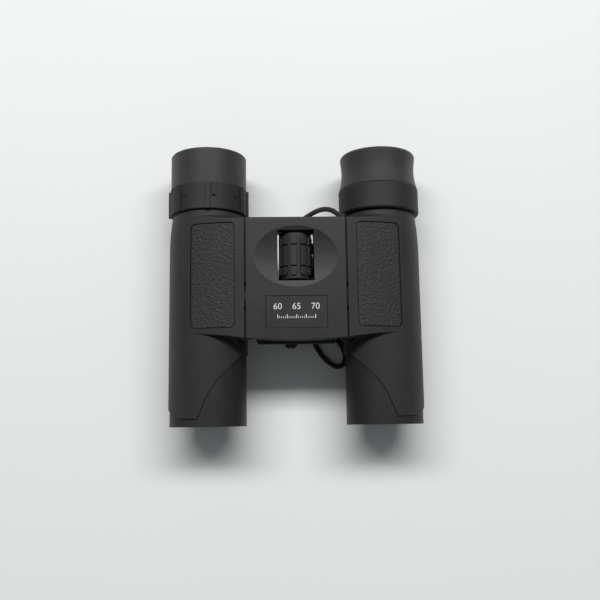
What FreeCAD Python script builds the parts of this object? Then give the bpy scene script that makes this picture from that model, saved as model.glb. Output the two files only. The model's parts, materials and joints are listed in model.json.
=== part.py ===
import FreeCAD, Part
import math
import os

# Compact folding binoculars. Millimetres. +X to the user's left as seen from above the eyepieces,
# +Y from the objectives to the eyepieces, +Z up. The origin is on the surface the object rests on,
# under the middle of its box. Barrel pieces are built for the +X barrel and mirrored for the other.

V = FreeCAD.Vector
ACROSS = V(1, 0, 0)
ALONG = V(0, 1, 0)
UP = V(0, 0, 1)
REACH = 200.0  # longer than the object: for cutting tools that pass right through

# Overall
overall_length = 112.4
barrel_spacing = 71.6  # between the optical axes, fully open
top_height = 35.5  # flat top of the bridge above the resting surface
fold_angle = 50.0  # each barrel, from fully open

# Barrel
tube_radius = 15.5
tube_wall = 1.4
armour_thickness = 0.55
grip_thickness = 0.4
grip_joint = 0.18  # gap around the grip panel
armour_sweep = [(-14.2, 28.7), (-9.5, 23.4), (-5.6, 19.3), (-1.6, 13.9), (0.9, 8.8), (3.3, 3.1)]
armour_corner = [(9.5, 3.4), (14.2, 5.2), (16.6, 10.8)]  # from the barrel's axis and front
collar_radius = 16.7  # widest ring, on which the eyepiece end rests
neck_radius = 13.5
shoulder_drop = 1.25  # how much the tube narrows before the ring
shoulder_length = 16.3
wing_underside = 8.2  # depth of the wing at the seam
wing_front_step = 0.1  # bridge front to the wing's front at the seam
wing_front_fall = 0.147  # how the wing's front falls back, outwards
wing_front_lean = 0.29  # how it leans forward, downwards
wing_rear_step = 0.7  # wing's rear to the bridge's rear

# Hinge
hinge_inset = 15.7  # hinge axis from the barrel axis, sideways
knuckle_radius = 3.3
ear_clearance = 0.1  # under the bridge's top cover
relief_gap = 0.3
pin_radius = 1.5
running_gap = 0.05
seam_half_gap = 0.35
ear_length_front = 4.65
ear_length_rear = 6.2
grip_inner_edge = 11.5  # grip panel's inner edge from the barrel axis, sideways
grip_width = 17.5
grip_length = 42.0
grip_setback = 4.1  # bridge front to the grip panel
front_knuckle_length = 4.9
carriage_gap_length = 12.0
washer_thickness = 0.4

# Bridge
bridge_setback = 33.9  # objective end to the bridge's front
bridge_length = 48.2
plate_thickness = 1.5
front_bow = 0.9  # how far the top cover's front swells in the middle
skirt_thickness = 1.2
core_half_width = 16.1  # between the hinge lines
cover_split = 7.9  # below the top, where the bottom cover starts
shell_wall = 1.1
lip_length = 1.8
fold_clearance = 0.85  # between a folded barrel and the bridge
dish_half_width = 16.6
dish_half_length = 12.3
dish_depth = 1.4
dish_backing = 2.8  # top cover's depth around the dish
label_width = 24.2
label_length = 12.8
label_thickness = 0.42
label_setback = 3.6  # bridge front to the label

# Focus wheel and drive
wheel_radius = 6.7
wheel_length = 18.9
wheel_setback = 15.5  # bridge rear to the wheel's middle
wheel_pads = 10
pad_width = 2.5
pad_length = 15.9
pad_height = 0.8
pad_turn = -7.5  # degrees, first pad from the top
window_width = 14.4
window_length = 20.3
spindle_radius = 2.0
core_radius = 5.2
focus_travel = 1.8

# Optics
cell_wall = 1.55  # tube's bore to the objective's edge
lens_seat = 0.05
cell_setback = 5.7  # objective end to the cell's front, focused at rest
cell_length = 16.0
prism_side_margin = 7.1  # tube's bore to the prism's sides
prism_top_margin = 4.9  # tube's bore to the prism's top
prism_length = 21.0
prism_gap = 0.3
prism_setback = 17.85  # bridge front to the first prism's entry face
eyepiece_radius = 12.1
eyepiece_wall = 1.5
eye_lens_radius = 7.0

# Eyepiece end, measured forwards from the eyecup rim
ring_start = 25.8
ring_length = 11.0
eyecup_radius = 15.7
eyecup_skirt = 1.2  # how far the sliding eyecup reaches into its ring
bar_height = 0.75
dioptre_travel = 0.8

# Cord
cord_radius = 1.1
knot_radius = 1.75  # where the cord is tied to the lug
end_knot_radius = 3.0
lug_angle = 25.0  # above level, as seen along the barrel
hank_side = -3.4  # the hank's edge nearest the middle
hank_front = -17.0
hank_width = 15.4
hank_length = 38.0
hank_height = 13.4
hank_waist = 5.4
tie_width = 4.0
tie_thickness = 0.5
connector_x = 1.7
connector_z = 1.75
connector_radius = 1.7
connector_front = hank_front + hank_length + 0.5
connector_back = connector_front + 5.2

# Derived places
front_y = -overall_length / 2
rear_y = overall_length / 2
barrel_x = barrel_spacing / 2
axis_z = collar_radius
hinge_x = barrel_x - hinge_inset
hinge_z = top_height - plate_thickness - knuckle_radius - ear_clearance
bridge_front = front_y + bridge_setback
bridge_rear = bridge_front + bridge_length
seam_x = hinge_x + seam_half_gap
plate_half_width = hinge_x - seam_half_gap
split_z = top_height - cover_split
wing_floor = top_height - wing_underside
armour_radius = tube_radius + armour_thickness
bore_radius = tube_radius - tube_wall
objective_radius = bore_radius - cell_wall
prism_half_width = bore_radius - prism_side_margin
prism_half_height = bore_radius - prism_top_margin
wheel_y = bridge_rear - wheel_setback
wheel_z = top_height - wheel_radius
ring_front = rear_y - ring_start
ring_rear = ring_front + ring_length
relief_radius = knuckle_radius + relief_gap
front_ear_end = bridge_front + ear_length_front
front_knuckle_start = front_ear_end + washer_thickness + 2 * running_gap
front_knuckle_end = front_knuckle_start + front_knuckle_length
rear_knuckle_start = front_knuckle_end + carriage_gap_length + 2 * running_gap
rear_ear_start = bridge_rear - ear_length_rear
rear_knuckle_end = rear_ear_start - washer_thickness - 2 * running_gap
crossbar_start = front_knuckle_end + focus_travel + 0.5
crossbar_end = crossbar_start + 3.0
collar_start = crossbar_end + 0.1
collar_end = collar_start + 3.2
clip_start = collar_end + running_gap
clip_end = clip_start + 0.8
sleeve_end = clip_end + 0.4
sleeve_radius = 2.4
boss_length = 6.5
boss_radius = 4.0


def cylinder(x, z, radius, start, end):
    return Part.makeCylinder(radius, end - start, V(x, start, z), ALONG)


def tube(x, z, outer, inner, start, end):
    return cylinder(x, z, outer, start, end).cut(cylinder(x, z, inner, start - 1, end + 1))


def block(x0, x1, y0, y1, z0, z1):
    return Part.makeBox(x1 - x0, y1 - y0, z1 - z0, V(x0, y0, z0))


def joined(first, *others):
    return first.fuse(list(others)).removeSplitter()


def turned(outline, x, z):
    """A solid of revolution about the line along Y at x, z. The outline is (radius, y) points."""
    points = [V(x + r, y, z) for r, y in outline]
    face = Part.Face(Part.makePolygon(points + points[:1]))
    return face.revolve(V(x, 0, z), ALONG, 360)


def slab(x0, x1, y0, y1, z0, z1, corner):
    """A block whose upright edges are rounded."""
    box = block(x0, x1, y0, y1, z0, z1)
    upright = [e for e in box.Edges if abs(e.tangentAt(e.FirstParameter).z) > 0.99]
    return box.makeFillet(corner, upright)


def sideways_prism(points, half_width, middle):
    """An outline of (y, z) points, extruded across X about middle."""
    corners = [V(middle - half_width, y, z) for y, z in points]
    return Part.Face(Part.makePolygon(corners + corners[:1])).extrude(ACROSS * 2 * half_width)


def radial_bar(inner, outer, thickness, start, end):
    """A bar in the barrel, pointing from its axis to its hinge. Inner and outer are distances from the axis."""
    lean = math.degrees(math.atan2(hinge_inset, hinge_z - axis_z))
    bar = block(-thickness / 2, thickness / 2, start, end, inner, outer)
    bar.rotate(V(0, 0, 0), ALONG, -lean)
    bar.translate(V(barrel_x, 0, axis_z))
    return bar


def folded_centre():
    """Where the barrel's axis is when the barrel is fully folded."""
    reach = math.hypot(hinge_inset, hinge_z - axis_z)
    angle = math.atan2(axis_z - hinge_z, hinge_inset) - math.radians(fold_angle)
    return hinge_x + reach * math.cos(angle), hinge_z + reach * math.sin(angle)


def without_folded_barrels(shape, clearance):
    """The space that the two folded barrels need is cut away."""
    x, z = folded_centre()
    radius = armour_radius + clearance
    for side in (1, -1):
        shape = shape.cut(cylinder(side * x, z, radius, -REACH, REACH))
    return shape


def without_hinge_relief(shape, start, end):
    for side in (1, -1):
        shape = shape.cut(cylinder(side * hinge_x, hinge_z, relief_radius, start, end))
    return shape


# ---- barrel ----


def tube_body(radius):
    """The barrel's outer form at this radius: straight, then narrowing in a long arc to the ring."""
    begin = ring_front - shoulder_length
    end = ring_front - 0.2
    arc_radius = (shoulder_length**2 + shoulder_drop**2) / (2 * shoulder_drop)
    steps = [0.5 * shoulder_length, end - begin]
    middle, last = [(radius - arc_radius + math.sqrt(arc_radius**2 - s**2), begin + s) for s in steps]
    arc = Part.Arc(*[V(barrel_x + r, y, axis_z) for r, y in ((radius, begin), middle, last)])
    corners = [
        V(barrel_x + last[0], last[1], axis_z),
        V(barrel_x, last[1], axis_z),
        V(barrel_x, front_y, axis_z),
        V(barrel_x + radius, front_y, axis_z),
        V(barrel_x + radius, begin, axis_z),
    ]
    wire = Part.Wire([arc.toShape()] + [Part.LineSegment(a, b).toShape() for a, b in zip(corners, corners[1:])])
    return Part.Face(wire).revolve(V(barrel_x, 0, axis_z), ALONG, 360)


def wing_body(radius, top):
    """The wing: a wide arc that leaves the tube tangentially and is level at the seam."""
    rise = top - axis_z - radius
    across = barrel_x - seam_x
    wing_radius = (across**2 + (top - axis_z) ** 2 - radius**2) / (2 * rise)
    centre_z = top - wing_radius
    full = math.atan2(across, axis_z - centre_z)
    level, half, tangent = [
        V(seam_x + wing_radius * math.sin(t), 0, centre_z + wing_radius * math.cos(t)) for t in (0, full / 2, full)
    ]
    inner_x = barrel_x - math.sqrt(radius**2 - (wing_floor - axis_z) ** 2)
    corners = [tangent, V(barrel_x, 0, axis_z), V(inner_x, 0, wing_floor), V(seam_x, 0, wing_floor), level]
    edges = [Part.Arc(level, half, tangent).toShape()]
    edges += [Part.LineSegment(a, b).toShape() for a, b in zip(corners, corners[1:])]
    wing = Part.Face(Part.Wire(edges)).extrude(ALONG * REACH)
    wing.translate(V(0, -REACH / 2, 0))
    return wing.common(wing_envelope())


def wing_envelope():
    """Between the wing's front, which leans forward at its foot and falls back outwards, and its rear."""
    rear = bridge_rear - wing_rear_step
    points = [
        (-REACH, top_height + 1),
        (-REACH, axis_z),
        (rear + 2.2, axis_z),
        (rear + 2.2, top_height - 2.9),
        (rear, top_height),
        (rear, top_height + 1),
    ]
    level = top_height + 1

    def front(x):
        return bridge_front + wing_front_step + wing_front_fall * (x - seam_x) + wing_front_lean

    plan = [V(0, front(0), level), V(REACH, front(REACH), level), V(REACH, REACH, level), V(0, REACH, level)]
    depth = level - axis_z
    behind_front = Part.Face(Part.makePolygon(plan + plan[:1])).extrude(V(0, -wing_front_lean * depth, -depth))
    return sideways_prism(points, REACH, 0).common(behind_front)


def barrel_form(radius, top):
    return joined(tube_body(radius), wing_body(radius, top))


def barrel_housing():
    """Moulded tube with its wing, hinge knuckles and the neck that carries the ring and eyepiece."""
    body = barrel_form(tube_radius, top_height - armour_thickness)
    knuckles = [
        cylinder(hinge_x, hinge_z, knuckle_radius, front_knuckle_start, front_knuckle_end),
        cylinder(hinge_x, hinge_z, knuckle_radius, rear_knuckle_start, rear_knuckle_end),
    ]
    neck_end = ring_rear - eyecup_skirt - dioptre_travel - 0.9
    neck = cylinder(barrel_x, axis_z, neck_radius, ring_front - 1, neck_end)
    body = cut_hinge_spaces(joined(body, neck))
    body = joined(body, *knuckles)
    body = body.cut(cylinder(hinge_x, hinge_z, pin_radius + running_gap, -REACH, REACH))
    body = body.cut(cylinder(barrel_x, axis_z, bore_radius, front_y - 1, eyepiece_stop()))
    body = body.cut(cylinder(barrel_x, axis_z, eyepiece_radius + running_gap, 0, neck_end + 1))
    return body.cut(arm_slot())


def eyepiece_stop():
    """Where the wide bore ends and the eyepiece's bearing begins."""
    return ring_front - 10.4


def cut_hinge_spaces(body):
    """Room in the wing for the bridge's ears, the washers and the carriage."""
    spans = [
        (-REACH, front_knuckle_start),
        (front_knuckle_end, rear_knuckle_start),
        (rear_knuckle_end, REACH),
    ]
    for start, end in spans:
        body = body.cut(cylinder(hinge_x, hinge_z, relief_radius, start, end))
    return body


def arm_slot():
    """The slot through which the focus arm reaches the objective cell."""
    margin = focus_travel + 0.4
    return radial_bar(bore_radius - 2, hinge_inset + 2, 2.8, collar_start - margin, collar_end + margin)


def armour_front_cut():
    """In plan: the armour's edge sweeps forward from the wing's foot to a tongue on the outer side."""

    def place(point):
        return V(barrel_x + point[0], front_y + point[1], 0)

    sweep = Part.BSplineCurve()
    sweep.interpolate([place(point) for point in armour_sweep])
    corner = Part.Arc(*[place(point) for point in armour_corner])
    side = tube_radius + 2
    start, end = armour_sweep[0], armour_corner[-1]
    outside = [end, (side, end[1]), (side, -1), (-side, -1), (-side, start[1]), start]
    edges = [sweep.toShape(), Part.LineSegment(place(armour_sweep[-1]), place(armour_corner[0])).toShape()]
    edges.append(corner.toShape())
    edges += [Part.LineSegment(place(a), place(b)).toShape() for a, b in zip(outside, outside[1:])]
    cut = Part.Face(Part.Wire(edges)).extrude(UP * REACH)
    cut.translate(V(0, 0, -REACH / 2))
    return cut


def grip_outline(margin):
    x0 = barrel_x - grip_inner_edge - margin
    y0 = bridge_front + grip_setback - margin
    x1 = x0 + grip_width + 2 * margin
    y1 = y0 + grip_length + 2 * margin
    return slab(x0, x1, y0, y1, wing_floor + 1, REACH, 2 + margin)


def rubber_armour():
    """Soft skin over the tube and the wing, open where the grip panel lies."""
    skin = barrel_form(armour_radius, top_height)
    skin = skin.cut(barrel_form(tube_radius, top_height - armour_thickness))
    skin = skin.cut(armour_front_cut())
    skin = skin.cut(grip_outline(grip_joint))
    return cut_hinge_spaces(skin).cut(arm_slot())


def grip_panel():
    """Grained inlay on top of the barrel."""
    outer = barrel_form(tube_radius + grip_thickness, top_height - armour_thickness + grip_thickness)
    inner = barrel_form(tube_radius, top_height - armour_thickness)
    return outer.cut(inner).common(grip_outline(0))


def front_ring():
    start = front_y + 0.3
    return turned(
        [
            (bore_radius, start),
            (bore_radius, start + 2.2),
            (objective_radius + 0.3, start + 2.2),
            (objective_radius + 0.9, start),
        ],
        barrel_x,
        axis_z,
    )


# ---- objective ----


def cell_front():
    return front_y + cell_setback


def objective_cell():
    """Sliding tube that holds the objective doublet."""
    start = cell_front()
    outer = bore_radius - running_gap
    inner = objective_radius + lens_seat
    shelf = start + 8.4
    outline = [
        (outer, start),
        (outer, start + cell_length),
        (inner, start + cell_length),
        (inner, shelf + 1.2),
        (objective_radius - 0.75, shelf + 1.2),
        (objective_radius - 0.75, shelf),
        (inner, shelf),
        (inner, start),
    ]
    cell = turned(outline, barrel_x, axis_z)
    return cell.cut(tongue())


def tongue():
    """The flat strip that runs back from the cell to the focus arm."""
    return radial_bar(objective_radius + 0.1, objective_radius + 0.95, 5.0, tongue_start(), collar_end)


def tongue_start():
    return cell_front() + cell_length - 4


def focus_arm():
    """Tongue, arm and collar. The collar turns on the carriage's sleeve as the barrel folds."""
    reach = math.hypot(hinge_inset, hinge_z - axis_z)
    arm = radial_bar(objective_radius + 0.5, reach - 1, 2.0, collar_start, collar_end)
    collar = cylinder(hinge_x, hinge_z, knuckle_radius, collar_start, collar_end)
    return joined(tongue(), arm, collar).cut(
        cylinder(hinge_x, hinge_z, sleeve_radius + running_gap, -REACH, REACH)
    )


def lens(radius, front, front_sag, rear, rear_sag):
    """A lens on the barrel axis. Front and rear are where its edge starts and ends; a sag bulges outwards."""

    def surface(y, sag):
        sphere = (radius**2 + sag**2) / (2 * abs(sag))
        drop = sphere - math.sqrt(sphere**2 - (radius / 2) ** 2)
        middle = y + math.copysign(abs(sag) - drop, sag)
        return Part.Arc(V(barrel_x, y + sag, axis_z), V(barrel_x + radius / 2, middle, axis_z), edge_point(y))

    def edge_point(y):
        return V(barrel_x + radius, y, axis_z)

    edges = [
        surface(front, -front_sag).toShape(),
        Part.LineSegment(edge_point(front), edge_point(rear)).toShape(),
        surface(rear, rear_sag).toShape(),
        Part.LineSegment(V(barrel_x, rear + rear_sag, axis_z), V(barrel_x, front - front_sag, axis_z)).toShape(),
    ]
    wire = Part.Wire(Part.__sortEdges__(edges))
    return Part.Face(wire).revolve(V(barrel_x, 0, axis_z), ALONG, 360)


def objective_lens_front():
    edge = cell_front() + 3.5
    return lens(objective_radius, edge, 1.6, edge + 2.8, 1.4)


def objective_lens_rear():
    edge = cell_front() + 3.5 + 2.8
    return lens(objective_radius, edge, -1.4, edge + 2.0, 0.3)


def objective_retainer():
    end = cell_front() + 3.2
    outer = objective_radius + lens_seat
    return turned([(outer, end - 1.6), (outer, end), (outer - 1, end), (outer - 0.6, end - 1.6)], barrel_x, axis_z)


# ---- prisms ----


def prism_front():
    return bridge_front + prism_setback


def prism_joint_y(height):
    """The gap between the two prisms leans by an eighth of a turn over two."""
    return prism_front() + 10 + height * math.tan(math.radians(22.5))


def prism_space():
    low = axis_z - prism_half_height - 0.2
    return block(
        barrel_x - prism_half_width - lens_seat,
        barrel_x + prism_half_width + lens_seat,
        prism_front() - 0.1,
        prism_front() + prism_length + 0.1,
        low,
        axis_z + 20,
    )


def prism_holder():
    """Turned carrier with a pocket for the prisms, open above, with a bore at each end for the light."""
    start = prism_front() - 1.6
    end = prism_front() + prism_length + 1.6
    body = cylinder(barrel_x, axis_z, bore_radius, start, end)
    body = body.cut(block(barrel_x - 20, barrel_x + 20, start - 1, end + 1, axis_z + prism_half_height, axis_z + 20))
    body = body.cut(prism_space())
    body = body.cut(cylinder(barrel_x, axis_z, prism_half_width - 0.4, start - 1, end + 1))
    clearance = radial_bar(objective_radius - 0.6, bore_radius + 2, 6.4, start - 1, collar_end + focus_travel + 0.6)
    return body.cut(clearance)


def half_prism():
    h = prism_half_height
    y = prism_front()
    points = [
        (y, axis_z + h),
        (prism_joint_y(h), axis_z + h),
        (prism_joint_y(-h), axis_z - h),
        (y + 4.2, axis_z - h),
        (y, axis_z - h + 4.2),
    ]
    return sideways_prism(points, prism_half_width, barrel_x)


def roof_prism():
    """The second prism. Its upper side is a roof of two faces at right angles."""
    h = prism_half_height
    end = prism_front() + prism_length
    points = [
        (prism_joint_y(h) + prism_gap, axis_z + h),
        (end - 2.6, axis_z + h),
        (end, axis_z + h - 2.6),
        (end, axis_z - 7),
        (prism_joint_y(-7) + prism_gap, axis_z - 7),
    ]
    prism = sideways_prism(points, prism_half_width, barrel_x)
    ridge = [V(barrel_x + x, 0, axis_z + z) for x, z in ((0, h), (-2 * h, -h), (2 * h, -h))]
    roof = Part.Face(Part.makePolygon(ridge + ridge[:1])).extrude(ALONG * REACH)
    return prism.common(roof)


def prism_clip():
    """Spring strap over the pocket that holds the prisms down."""
    y = prism_front() + 3
    z = axis_z + prism_half_height
    return block(barrel_x - 9.4, barrel_x + 9.4, y, y + 5, z, z + 0.5)


# ---- eyepiece ----


def eyepiece_tube():
    outer = eyepiece_radius
    inner = outer - eyepiece_wall
    front = ring_front - 8.9
    end = rear_y - 8.2
    outline = [
        (outer, front),
        (outer, end),
        (inner, end),
        (inner, end - 6.0),
        (inner - 1.6, end - 6.0),
        (inner - 1.6, end - 7.0),
        (inner, end - 7.0),
        (inner, front + 7.5),
        (inner - 1.4, front + 7.5),
        (inner - 1.4, front + 6.5),
        (inner, front + 6.5),
        (inner, front),
    ]
    return turned(outline, barrel_x, axis_z)


def field_lens():
    edge = ring_front - 8.9 + 3.5
    return lens(eyepiece_radius - eyepiece_wall, edge, 0.7, edge + 2.8, 0.02)


def eye_lens():
    edge = rear_y - 8.2 - 5.95
    return lens(eyepiece_radius - eyepiece_wall, edge, 0.02, edge + 2.6, 0.9)


def eye_lens_retainer():
    outer = eyepiece_radius - eyepiece_wall
    end = rear_y - 8.2
    return turned(
        [(outer, end - 2.2), (outer, end), (outer - 1.6, end), (eye_lens_radius, end - 1.6), (eye_lens_radius, end - 2.2)],
        barrel_x,
        axis_z,
    )


def eyecup_inside():
    """The hollow that the eye looks into, from the eyepiece tube to the rim."""
    return [
        (eyecup_radius - 1.4, rear_y),
        (eyepiece_radius - 1.6, rear_y - 6.8),
        (eyepiece_radius - 1.6, rear_y - 8.2),
        (eyepiece_radius, rear_y - 8.2),
    ]


def straight_eyecup():
    """Soft cup of even radius, whose skirt slides inside the dioptre ring."""
    start = ring_rear - eyecup_skirt
    outline = [
        (eyepiece_radius, start),
        (eyecup_radius, start),
        (eyecup_radius, rear_y - 0.6),
        (eyecup_radius - 0.5, rear_y),
    ]
    return turned(outline + eyecup_inside(), barrel_x, axis_z)


def flared_eyecup():
    """Soft cup with a sloping skirt against its collar, a slight waist and a fuller rim."""
    start = ring_rear + 0.1
    waist = [
        (collar_radius - 0.4, start + 0.5),
        (eyecup_radius + 0.2, start + 2.2),
        (eyecup_radius - 0.25, start + 5.0),
        (eyecup_radius - 0.4, start + 8.0),
        (eyecup_radius - 0.15, start + 11.4),
        (eyecup_radius + 0.1, rear_y - 0.9),
    ]
    side = Part.BSplineCurve()
    side.interpolate([V(barrel_x + r, y, axis_z) for r, y in waist])
    outline = [waist[-1], (eyecup_radius - 0.4, rear_y)] + eyecup_inside() + [(eyepiece_radius, start)]
    outline += [(collar_radius - 0.35, start), waist[0]]
    corners = [V(barrel_x + r, y, axis_z) for r, y in outline]
    edges = [side.toShape()] + [Part.LineSegment(a, b).toShape() for a, b in zip(corners, corners[1:])]
    return Part.Face(Part.Wire(edges)).revolve(V(barrel_x, 0, axis_z), ALONG, 360)


def dioptre_ring():
    """Turning ring with grip bars, a recess for the eyecup's skirt, and minus and plus marks."""
    body_radius = collar_radius - bar_height
    recess = eyecup_skirt + dioptre_travel + 0.5
    outline = [
        (neck_radius + running_gap, ring_front),
        (body_radius - 0.3, ring_front),
        (body_radius, ring_front + 0.3),
        (body_radius, ring_rear),
        (eyecup_radius + 0.2, ring_rear),
        (eyecup_radius + 0.2, ring_rear - recess),
        (neck_radius + running_gap, ring_rear - recess),
    ]
    ring = turned(outline, barrel_x, axis_z)
    bars = [bar_on_ring(a, 1.8, ring_front, ring_rear) for a in (-180, -135, -90, -44, 2.6, 90, 135)]
    bars.append(bar_on_ring(12, 1.4, ring_front + 5.6, ring_rear))
    bars.append(bar_on_ring(62, 1.2, ring_front, ring_rear))
    ring = joined(ring, *bars)
    middle = ring_front + ring_length / 2
    minus = [mark_on_ring(-33, 2.0, 0.5, middle)]
    plus = [mark_on_ring(48, 2.0, 0.5, middle), mark_on_ring(48, 0.5, 2.0, middle)]
    for mark in minus + plus:
        ring = ring.cut(mark)
    return ring


def bar_on_ring(angle, width, start, end):
    """A raised bar along the ring. The angle is from the top, positive towards the bridge."""
    bar = block(-width / 2, width / 2, start, end, neck_radius + 2.2, collar_radius + 2)
    bar.translate(V(barrel_x, 0, axis_z))
    bar.rotate(V(barrel_x, 0, axis_z), ALONG, -angle)
    return bar.common(cylinder(barrel_x, axis_z, collar_radius, start, end))


def mark_on_ring(angle, width, length, middle):
    floor = collar_radius - bar_height - 0.3
    mark = block(-width / 2, width / 2, middle - length / 2, middle + length / 2, floor, floor + 3)
    mark.translate(V(barrel_x, 0, axis_z))
    mark.rotate(V(barrel_x, 0, axis_z), ALONG, -angle)
    return mark


def fixed_collar():
    outline = [
        (neck_radius, ring_front),
        (collar_radius - 0.5, ring_front),
        (collar_radius, ring_front + 0.6),
        (collar_radius, ring_rear - 0.5),
        (collar_radius - 0.3, ring_rear),
        (neck_radius, ring_rear),
    ]
    return turned(outline, barrel_x, axis_z).cut(cylinder(barrel_x, axis_z, eyepiece_radius + running_gap, 0, REACH))


# ---- bridge ----


def dish():
    """Shallow oval hollow for the fingertip: the end of a long spheroid that lies across the bridge."""
    total = dish_half_length**2 / dish_depth
    radius = (total + dish_depth) / 2
    above = (total - dish_depth) / 2
    share = math.sqrt(1 - (above / radius) ** 2)
    centre = V(0, wheel_y - 0.4, top_height + above)
    major = dish_half_width / share
    ellipse = Part.Ellipse(centre, major, radius)
    arc = Part.Arc(ellipse, 0, math.pi).toShape()
    ends = Part.LineSegment(V(-major, centre.y, centre.z), V(major, centre.y, centre.z)).toShape()
    face = Part.Face(Part.Wire([arc, ends]))
    return face.revolve(centre, ACROSS, 360)


def dish_pad(margin):
    """The thicker part of the top cover, under the dish."""
    return block(
        -14.5 - margin,
        14.5 + margin,
        wheel_y - dish_half_length - 0.6 - margin,
        bridge_rear - skirt_thickness,
        top_height - dish_backing - margin,
        top_height - plate_thickness,
    )


def behind_bowed_front():
    """All that lies behind the gentle curve of the bridge's front."""
    half = plate_half_width
    curve = Part.Arc(V(-half, bridge_front, 0), V(0, bridge_front - front_bow, 0), V(half, bridge_front, 0))
    corners = [V(half, bridge_front, 0), V(half, REACH, 0), V(-half, REACH, 0), V(-half, bridge_front, 0)]
    edges = [Part.LineSegment(a, b).toShape() for a, b in zip(corners, corners[1:])]
    return Part.Face(Part.Wire([curve.toShape()] + edges)).extrude(UP * REACH)


def bridge_top_cover():
    """Flat cover with front and rear skirts, the finger dish, the wheel window and the label recess."""
    base = top_height - plate_thickness
    foremost = bridge_front - front_bow
    plate = block(-plate_half_width, plate_half_width, foremost, bridge_rear, base, top_height)
    plate = plate.common(behind_bowed_front())
    front_skirt = block(-core_half_width, core_half_width, foremost, bridge_front + skirt_thickness, split_z, base)
    rear_start = bridge_rear - skirt_thickness
    rear_skirt = block(-core_half_width, core_half_width, rear_start, bridge_rear, split_z, base)
    skirts = [front_skirt.common(behind_bowed_front()), rear_skirt]
    cover = joined(plate, dish_pad(0), *skirts)
    long_edges = [
        e
        for e in cover.Edges
        if abs(e.BoundBox.ZMin - top_height) < 1e-3
        and abs(e.BoundBox.ZMax - top_height) < 1e-3
        and e.BoundBox.XLength > 30
    ]
    cover = cover.makeFillet(0.4, long_edges)
    cover = cover.cut(dish())
    cover = cover.cut(
        block(
            -window_width / 2,
            window_width / 2,
            wheel_y - window_length / 2,
            wheel_y + window_length / 2,
            0,
            REACH,
        )
    )
    cover = cover.cut(label_field(label_width, label_length, 0.5, 1))
    return without_hinge_relief(cover, front_ear_end, rear_ear_start)


def label_field(width, length, depth, above):
    y = bridge_front + label_setback + label_length / 2
    z = top_height - depth
    return block(-width / 2, width / 2, y - length / 2, y + length / 2, z, z + depth + above)


def label_plate():
    """Thin printed plate, a hair below the surface, with a fine joint around it."""
    plate = label_field(label_width - 0.3, label_length - 0.3, label_thickness, 0)
    plate.translate(V(0, 0, label_thickness - 0.5))
    return plate


def bridge_frame():
    """Cast frame: bearings for the spindle, rooms for wheel and carriage, and the four hinge ears."""
    front = bridge_front + skirt_thickness
    rear = bridge_rear - skirt_thickness
    base = split_z
    top = top_height - plate_thickness
    body = block(-core_half_width, core_half_width, front, rear, base, top)
    body = without_hinge_relief(body, front_ear_end, rear_ear_start)
    ears = []
    for side in (1, -1):
        for start, end in ((bridge_front, front_ear_end), (rear_ear_start, bridge_rear)):
            ears.append(cylinder(side * hinge_x, hinge_z, knuckle_radius, start, end))
            inner = core_half_width - 1.5
            web = block(inner, hinge_x, start, end, base + 0.6, hinge_z + knuckle_radius - 0.4)
            inside = block(-inner - 2, hinge_x + 2, front, rear, 0, REACH)
            web = web.common(inside) if side > 0 else mirrored(web.common(inside))
            ears.append(web)
    body = joined(body, *ears)
    body = without_folded_barrels(body, fold_clearance)
    wheel_room = wheel_radius + 0.6
    body = body.cut(cylinder(0, wheel_z, wheel_room, *wheel_span(0.4)))
    start, end = wheel_span(0.4)
    body = body.cut(block(-wheel_room, wheel_room, start, end, wheel_z, top + 1))
    body = body.cut(dish_pad(0.05))
    body = body.cut(carriage_room())
    body = body.cut(cylinder(0, wheel_z, spindle_radius + 0.4, front + 1.2, rear - 0.6))
    for bush in bush_spans():
        body = body.cut(cylinder(0, wheel_z, bush_radius(), *bush))
    for side in (1, -1):
        body = body.cut(cylinder(side * hinge_x, hinge_z, pin_radius, bridge_front + 0.8, bridge_rear - 0.8))
    for x, y in screw_places():
        body = body.cut(Part.makeCylinder(0.8, 4.5, V(x, y, base - 0.5), UP))
    return body


def mirrored(shape):
    return shape.mirror(V(0, 0, 0), ACROSS)


def wheel_span(margin):
    return wheel_y - wheel_length / 2 - margin, wheel_y + wheel_length / 2 + margin


def carriage_room():
    margin = focus_travel + 0.3
    start = crossbar_start - margin
    end = crossbar_end + margin
    bar = block(-hinge_x, hinge_x, start, end, split_z - 1, hinge_z + 2.2)
    nut = cylinder(0, wheel_z, boss_radius + 0.4, crossbar_end - boss_length - margin, end)
    return joined(bar, nut)


def bush_radius():
    return spindle_radius + 1.2


def bush_spans():
    front = bridge_front + skirt_thickness
    rear = bridge_rear - skirt_thickness
    return ((front + 1.0, front + 4.4), (rear - 3.2, rear - 0.4))


def spindle_bushes():
    spans = bush_spans()
    return Part.makeCompound([tube(0, wheel_z, bush_radius(), spindle_radius + running_gap, *s) for s in spans])


def bottom_outline(inset):
    """The underside's outer form: a thin slab, and a keel around the wheel, hollowed for the folded barrels."""
    half = core_half_width - inset
    keel_radius = wheel_radius + 0.6 + shell_wall - inset
    slab_part = block(-half, half, bridge_front + inset, bridge_rear - inset, split_z - 4, split_z)
    keel = cylinder(0, wheel_z, keel_radius, bridge_front + inset, bridge_rear - inset)
    keel = keel.common(block(-half, half, -REACH, REACH, 0, split_z))
    return without_folded_barrels(joined(slab_part, keel), fold_clearance + inset)


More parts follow.
